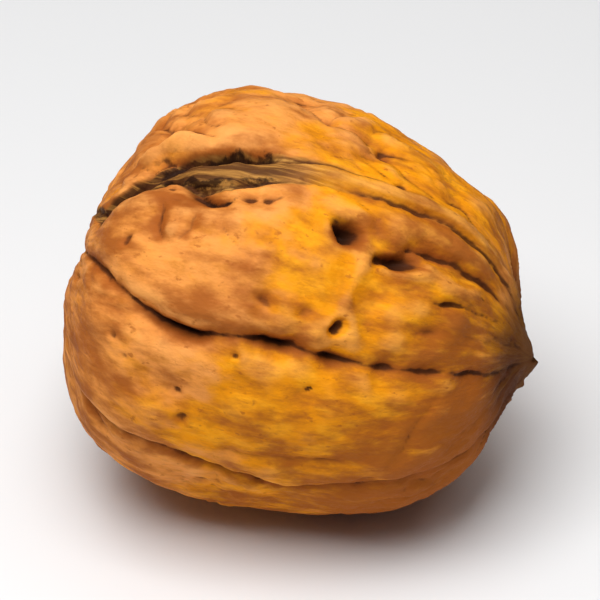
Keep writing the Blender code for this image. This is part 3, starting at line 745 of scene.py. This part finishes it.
# The flat: the nut is cut off level with the table, and closed again.
nut = bmesh.new()
nut.from_mesh(shell_mesh)
cut = bmesh.ops.bisect_plane(
    nut, geom=nut.verts[:] + nut.edges[:] + nut.faces[:], plane_co=(0, 0, 0), plane_no=(0, 0, 1),
    clear_inner=True,
)
rim = [part for part in cut["geom_cut"] if isinstance(part, bmesh.types.BMEdge)]
bmesh.ops.edgeloop_fill(nut, edges=rim)
bmesh.ops.recalc_face_normals(nut, faces=nut.faces[:])
nut.to_mesh(shell_mesh)
nut.free()
shell_mesh.shade_smooth()
shell = bpy.data.objects.new("walnut_shell", shell_mesh)
bpy.context.scene.collection.objects.link(shell)


# The shell's finish: dry wood, dull, with a faint sheen. Peach at the stalk end and on the lobes, ochre
# towards the tip, rust brown in stains and as painted shade in hollows, low on the body and round creases
# and pits, painted dark-brown shade in the creases and pits, painted black shade in the split, a dark brown
# tip, and olive and straw fibres in the band.
PEACH = (0.80, 0.300, 0.064, 1)
OCHRE = (0.82, 0.285, 0.004, 1)
TAN = (0.88, 0.40, 0.115, 1)
GOLD = (0.93, 0.37, 0.012, 1)
BRONZE = (0.46, 0.145, 0.006, 1)
RUST_AND_SHADE = (0.34, 0.086, 0.012, 1)
UMBER = (0.060, 0.017, 0.006, 1)
SHADE_BLACK = (0.022, 0.008, 0.004, 1)
OLIVE = (0.36, 0.165, 0.036, 1)
STRAW = (0.58, 0.30, 0.070, 1)
DARK_FIBRE = (0.08, 0.030, 0.010, 1)
# Clouds: how fine they are along and across the grain per mm, their shift, octaves and roughness.
PATCH_CLOUD = (0.17, 0.26, 0, 3, 0.55)
FLECK_CLOUD = (0.40, 0.75, 11, 4, 0.6)
GOLD_CLOUD = (0.32, 0.60, 17, 3, 0.55)
STREAK_CLOUD = (0.34, 1.3, 3, 4, 0.65)
MOTTLE_CLOUD = (0.28, 0.55, 5, 4, 0.55)
SPECK_CLOUD = (1.1, 1.7, 7, 3, 0.5)
FIBRE_CLOUD = (0.10, 2.6, 4, 5, 0.6)
RAGGED_CLOUD = (0.9, 1.6, 9, 4, 0.65)
SHEEN_CLOUD = (2.5, 2.5, 0, 3, 0.5)
PORE_CLOUD = (1.5, 2.6, 0, 6, 0.62)
# Ramps: where a cloud or reading starts to tell, where it tells in full, and what it gives at each end.
PATCH_TONE = (0.3, 0.7, -0.6, 0.6)
OCHRE_RAMP = (-0.1, 0.7, 0, 1)
FLECK_RAMP = (0.50, 0.70, 0, 0.45)
GOLD_RAMP = (0.46, 0.62, 0, 0.85)
GOLD_NEEDS_OCHRE = (0.1, 0.8, 0.1, 1)
STREAK_RAMP = (0.50, 0.75, 0, 0.4)
SPECK_RAMP = (0.62, 0.74, 0, 0.6)
DUSK_AND_SHADE_RAMP = (0.42, 0.80, 0, 0.9)
RAISED_TAN_RAMP = (-0.02, -0.22, 0, 0.4)
HOLLOW_SHADE_RAMP = (0.04, 0.45, 0, 0.8)
CREASE_STAIN_MOTTLE = (0.3, 0.7, 0.5, 1.5)
CREASE_STAIN_AND_SHADE_RAMP = (0.06, 0.6, 0, 0.85)
SPLIT_DARKER = (0.16, 0.5, -0.10, 0)
OLIVE_RAMP = (0.38, 0.52, 0, 1)
STRAW_RAMP = (0.50, 0.62, 0, 0.85)
BAND_RAMP = (0.15, 0.85, 0, 1)
BAND_FADE = (0.42, 0.64, 0.95, 0.15)
RAGGED = (0.25, 0.75, -0.45, 0.35)
SPLIT_SHADE_RAMP = (0.25, 0.75, 0, 0.9)
CREASE_SHADE_RAMP = (0.025, 0.14, 0, 0.85)
PRESSED_SHADE_RAMP = (0.2, 1.4, 0, 0.85)
DEEP_SHADE_RAMP = (0.9, 1.8, 0, 0.7)
TIP_RAMP = (0.94, 1.0, 0, 0.85)
SHEEN_RAMP = (0.3, 0.7, 0.55, 0.75)
# How much the dusky patches and painted shade count, how much the shell shines, and its pores' strength and
# depth in metres.
DUSK_AND_SHADE_SHARE = 0.15
SHEEN_LEVEL = 0.07
PORE_STRENGTH = 0.5
PORE_DEPTH = 0.00024


class Finish:
    """Nodes for one material, each wired as it is placed."""

    def __init__(self, name):
        self.material = bpy.data.materials.new(name)
        self.material.use_nodes = True
        self.tree = self.material.node_tree
        self.surface = self.tree.nodes["Principled BSDF"]

    def feed(self, socket, value):
        if isinstance(value, bpy.types.NodeSocket):
            self.tree.links.new(value, socket)
        else:
            socket.default_value = value

    def reading(self, name, kind="Fac"):
        node = self.tree.nodes.new("ShaderNodeAttribute")
        node.attribute_name = name
        return node.outputs[kind]

    def cloud(self, place, along, across, shift, octaves, roughness):
        """A noise cloud over the grain."""
        spread = self.tree.nodes.new("ShaderNodeMapping")
        self.feed(spread.inputs["Vector"], place)
        spread.inputs["Scale"].default_value = (along, across, across)
        spread.inputs["Location"].default_value = (shift, shift, shift)
        node = self.tree.nodes.new("ShaderNodeTexNoise")
        self.feed(node.inputs["Vector"], spread.outputs["Vector"])
        node.inputs["Scale"].default_value = 1
        node.inputs["Detail"].default_value = octaves
        node.inputs["Roughness"].default_value = roughness
        return node.outputs["Fac"]

    def ramp(self, value, low, high, to_low, to_high):
        node = self.tree.nodes.new("ShaderNodeMapRange")
        node.interpolation_type = "SMOOTHSTEP"
        self.feed(node.inputs["Value"], value)
        node.inputs["From Min"].default_value = low
        node.inputs["From Max"].default_value = high
        node.inputs["To Min"].default_value = to_low
        node.inputs["To Max"].default_value = to_high
        return node.outputs["Result"]

    def reckoned(self, operation, one, other):
        node = self.tree.nodes.new("ShaderNodeMath")
        node.operation = operation
        self.feed(node.inputs[0], one)
        self.feed(node.inputs[1], other)
        return node.outputs["Value"]

    def sum(self, one, other):
        return self.reckoned("ADD", one, other)

    def product(self, one, other):
        return self.reckoned("MULTIPLY", one, other)

    def blend(self, share, under, over):
        node = self.tree.nodes.new("ShaderNodeMix")
        node.data_type = "RGBA"
        self.feed(node.inputs["Factor"], share)
        self.feed(node.inputs["A"], under)
        self.feed(node.inputs["B"], over)
        return node.outputs["Result"]


def skin_colour(finish, grain, hollow):
    """Peach and ochre skin with gold, bronze and rust in it, and tan where it stands above its surroundings.
    """
    patch = finish.ramp(finish.cloud(grain, *PATCH_CLOUD), *PATCH_TONE)
    tone = finish.sum(patch, finish.reading("tone"))
    colour = finish.blend(finish.ramp(tone, *OCHRE_RAMP), PEACH, OCHRE)
    gold = finish.ramp(finish.cloud(grain, *GOLD_CLOUD), *GOLD_RAMP)
    gold = finish.product(gold, finish.ramp(tone, *GOLD_NEEDS_OCHRE))
    colour = finish.blend(gold, colour, GOLD)
    colour = finish.blend(finish.ramp(finish.cloud(grain, *FLECK_CLOUD), *FLECK_RAMP), colour, BRONZE)
    colour = finish.blend(finish.ramp(finish.cloud(grain, *STREAK_CLOUD), *STREAK_RAMP), colour, RUST_AND_SHADE)
    # Lighter tan where the skin stands above its surroundings.
    return finish.blend(finish.ramp(hollow, *RAISED_TAN_RAMP), colour, TAN)


def rust_and_shade_colour(finish, grain, hollow, colour):
    """Rust brown in specks, and partly painted shade in dusky patches, hollows and round creases and pits.
    """
    mottle = finish.cloud(grain, *MOTTLE_CLOUD)
    # Rust brown in dusky patches and stains, mottled, partly painted shade where the light falls off.
    stains_and_shade = finish.product(finish.reading("stains_and_shade"), DUSK_AND_SHADE_SHARE)
    colour = finish.blend(finish.ramp(finish.sum(mottle, stains_and_shade), *DUSK_AND_SHADE_RAMP), colour, RUST_AND_SHADE)
    # Painted shade: rust brown in the broad hollows.
    colour = finish.blend(finish.ramp(hollow, *HOLLOW_SHADE_RAMP), colour, RUST_AND_SHADE)
    # Rust brown spread round the creases and pits, partly painted shade and partly stain, mottled.
    crease_stain_and_shade = finish.product(finish.reading("crease_stain_and_shade"), finish.ramp(mottle, *CREASE_STAIN_MOTTLE))
    colour = finish.blend(finish.ramp(crease_stain_and_shade, *CREASE_STAIN_AND_SHADE_RAMP), colour, RUST_AND_SHADE)
    return finish.blend(finish.ramp(finish.cloud(grain, *SPECK_CLOUD), *SPECK_RAMP), colour, RUST_AND_SHADE)


def banded_colour(finish, grain, station, colour):
    """The skin with the fibres of the seam band, which fade into it towards the tip."""
    fibres = finish.sum(finish.cloud(grain, *FIBRE_CLOUD), finish.ramp(station, *SPLIT_DARKER))
    fibre_colour = finish.blend(finish.ramp(fibres, *OLIVE_RAMP), DARK_FIBRE, OLIVE)
    fibre_colour = finish.blend(finish.ramp(fibres, *STRAW_RAMP), fibre_colour, STRAW)
    band = finish.ramp(finish.reading("band"), *BAND_RAMP)
    band = finish.product(band, finish.ramp(station, *BAND_FADE))
    return finish.blend(band, colour, fibre_colour)


def darkened_colour(finish, grain, station, colour):
    """The skin with painted shade in its creases, pits and split, and its tip dark brown."""
    pressed = finish.reading("pressed")
    # Painted shade: dark brown in the fine creases and in pressed creases and pits, near black in the
    # deepest.
    colour = finish.blend(finish.ramp(finish.reading("crease"), *CREASE_SHADE_RAMP), colour, UMBER)
    colour = finish.blend(finish.ramp(pressed, *PRESSED_SHADE_RAMP), colour, UMBER)
    colour = finish.blend(finish.ramp(pressed, *DEEP_SHADE_RAMP), colour, SHADE_BLACK)
    # Painted black shade in the split, with a ragged edge.
    split_shade = finish.sum(finish.reading("split_shade"), finish.ramp(finish.cloud(grain, *RAGGED_CLOUD), *RAGGED))
    colour = finish.blend(finish.ramp(split_shade, *SPLIT_SHADE_RAMP), colour, SHADE_BLACK)
    return finish.blend(finish.ramp(station, *TIP_RAMP), colour, UMBER)


def shell_finish():
    finish = Finish("walnut shell")
    grain = finish.reading("grain", "Vector")
    hollow = finish.reading("hollow")
    station = finish.reading("station")

    colour = skin_colour(finish, grain, hollow)
    colour = rust_and_shade_colour(finish, grain, hollow, colour)
    colour = banded_colour(finish, grain, station, colour)
    colour = darkened_colour(finish, grain, station, colour)
    finish.feed(finish.surface.inputs["Base Color"], colour)
    sheen = finish.ramp(finish.cloud(grain, *SHEEN_CLOUD), *SHEEN_RAMP)
    finish.feed(finish.surface.inputs["Roughness"], sheen)
    finish.surface.inputs["Specular IOR Level"].default_value = SHEEN_LEVEL

    pores = finish.tree.nodes.new("ShaderNodeBump")
    pores.inputs["Strength"].default_value = PORE_STRENGTH
    pores.inputs["Distance"].default_value = PORE_DEPTH
    finish.feed(pores.inputs["Height"], finish.cloud(grain, *PORE_CLOUD))
    finish.feed(finish.surface.inputs["Normal"], pores.outputs["Normal"])
    return finish.material


shell_mesh.materials.clear()
shell_mesh.materials.append(shell_finish())
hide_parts("walnut")
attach(shell, "root")


# The table: a plain pale floor, wider than the picture. Sizes are in metres from here on.
FLOOR_SIZE = 3.0
FLOOR_COLOUR = (0.78, 0.78, 0.785, 1)
FLOOR_ROUGHNESS = 0.7

table = bmesh.new()
bmesh.ops.create_grid(table, x_segments=1, y_segments=1, size=FLOOR_SIZE / 2)
floor_mesh = bpy.data.meshes.new("floor")
table.to_mesh(floor_mesh)
table.free()
floor = bpy.data.objects.new("floor", floor_mesh)
bpy.context.scene.collection.objects.link(floor)
floor_finish = Finish("pale floor")
floor_finish.surface.inputs["Base Color"].default_value = FLOOR_COLOUR
floor_finish.surface.inputs["Roughness"].default_value = FLOOR_ROUGHNESS
floor_mesh.materials.append(floor_finish.material)


# The light: a soft lamp high over the front, a broad one farther off overhead, and a dim pale room. The
# lamps' powers are in watts.
KEY_PLACE = (-0.030, -0.110, 0.33)
KEY_SIZE = 0.24
KEY_POWER = 1.2
OVERHEAD_PLACE = (-0.02, -0.05, 0.50)
OVERHEAD_SIZE = 0.7
OVERHEAD_POWER = 1.5
ROOM_LIGHT = 0.07
NUT_MIDDLE = Vector((0, 0, 0.017))


def lamp(name, place, size, power):
    light = bpy.data.lights.new(name, "AREA")
    light.size = size
    light.energy = power
    stand = bpy.data.objects.new(name, light)
    stand.location = place
    stand.rotation_euler = (NUT_MIDDLE - Vector(place)).to_track_quat("-Z", "Y").to_euler()
    bpy.context.scene.collection.objects.link(stand)


lamp("key lamp", KEY_PLACE, KEY_SIZE, KEY_POWER)
lamp("overhead lamp", OVERHEAD_PLACE, OVERHEAD_SIZE, OVERHEAD_POWER)
room = bpy.data.worlds.new("pale room")
room.use_nodes = True
room.node_tree.nodes["Background"].inputs["Color"].default_value = (1, 1, 1, 1)
room.node_tree.nodes["Background"].inputs["Strength"].default_value = ROOM_LIGHT
bpy.context.scene.world = room
bpy.context.scene.view_settings.view_transform = "Standard"


# The camera: a long lens that looks down on the nut's front, a little from the tip's side. The view's width
# is at the nut's middle, and the sensor's is in mm.
VIEW_AZIMUTH = math.radians(12.9)
VIEW_ELEVATION = math.radians(35)
VIEW_DISTANCE = 0.4
VIEW_WIDTH = 0.0506
SENSOR_WIDTH = 36.0
NEAREST_SHOWN = 0.01

to_camera = Vector((
    math.sin(VIEW_AZIMUTH) * math.cos(VIEW_ELEVATION),
    -math.cos(VIEW_AZIMUTH) * math.cos(VIEW_ELEVATION),
    math.sin(VIEW_ELEVATION),
))
right = Vector((math.cos(VIEW_AZIMUTH), math.sin(VIEW_AZIMUTH), 0))
above = to_camera.cross(right)


def middle_along(direction):
    """The middle of the nut's reach along a direction, as a step from the origin."""
    reach = [vert.co.dot(direction) for vert in shell_mesh.vertices]
    return direction * (min(reach) + max(reach)) / 2


lens = bpy.data.cameras.new("camera")
lens.sensor_width = SENSOR_WIDTH
lens.lens = SENSOR_WIDTH * VIEW_DISTANCE / VIEW_WIDTH
lens.clip_start = NEAREST_SHOWN
camera = bpy.data.objects.new("camera", lens)
middle = middle_along(right) + middle_along(above) + middle_along(to_camera)
camera.location = middle + to_camera * VIEW_DISTANCE
camera.rotation_mode = "QUATERNION"
camera.rotation_quaternion = (-to_camera).to_track_quat("-Z", "Y")
bpy.context.scene.collection.objects.link(camera)
bpy.context.scene.camera = camera
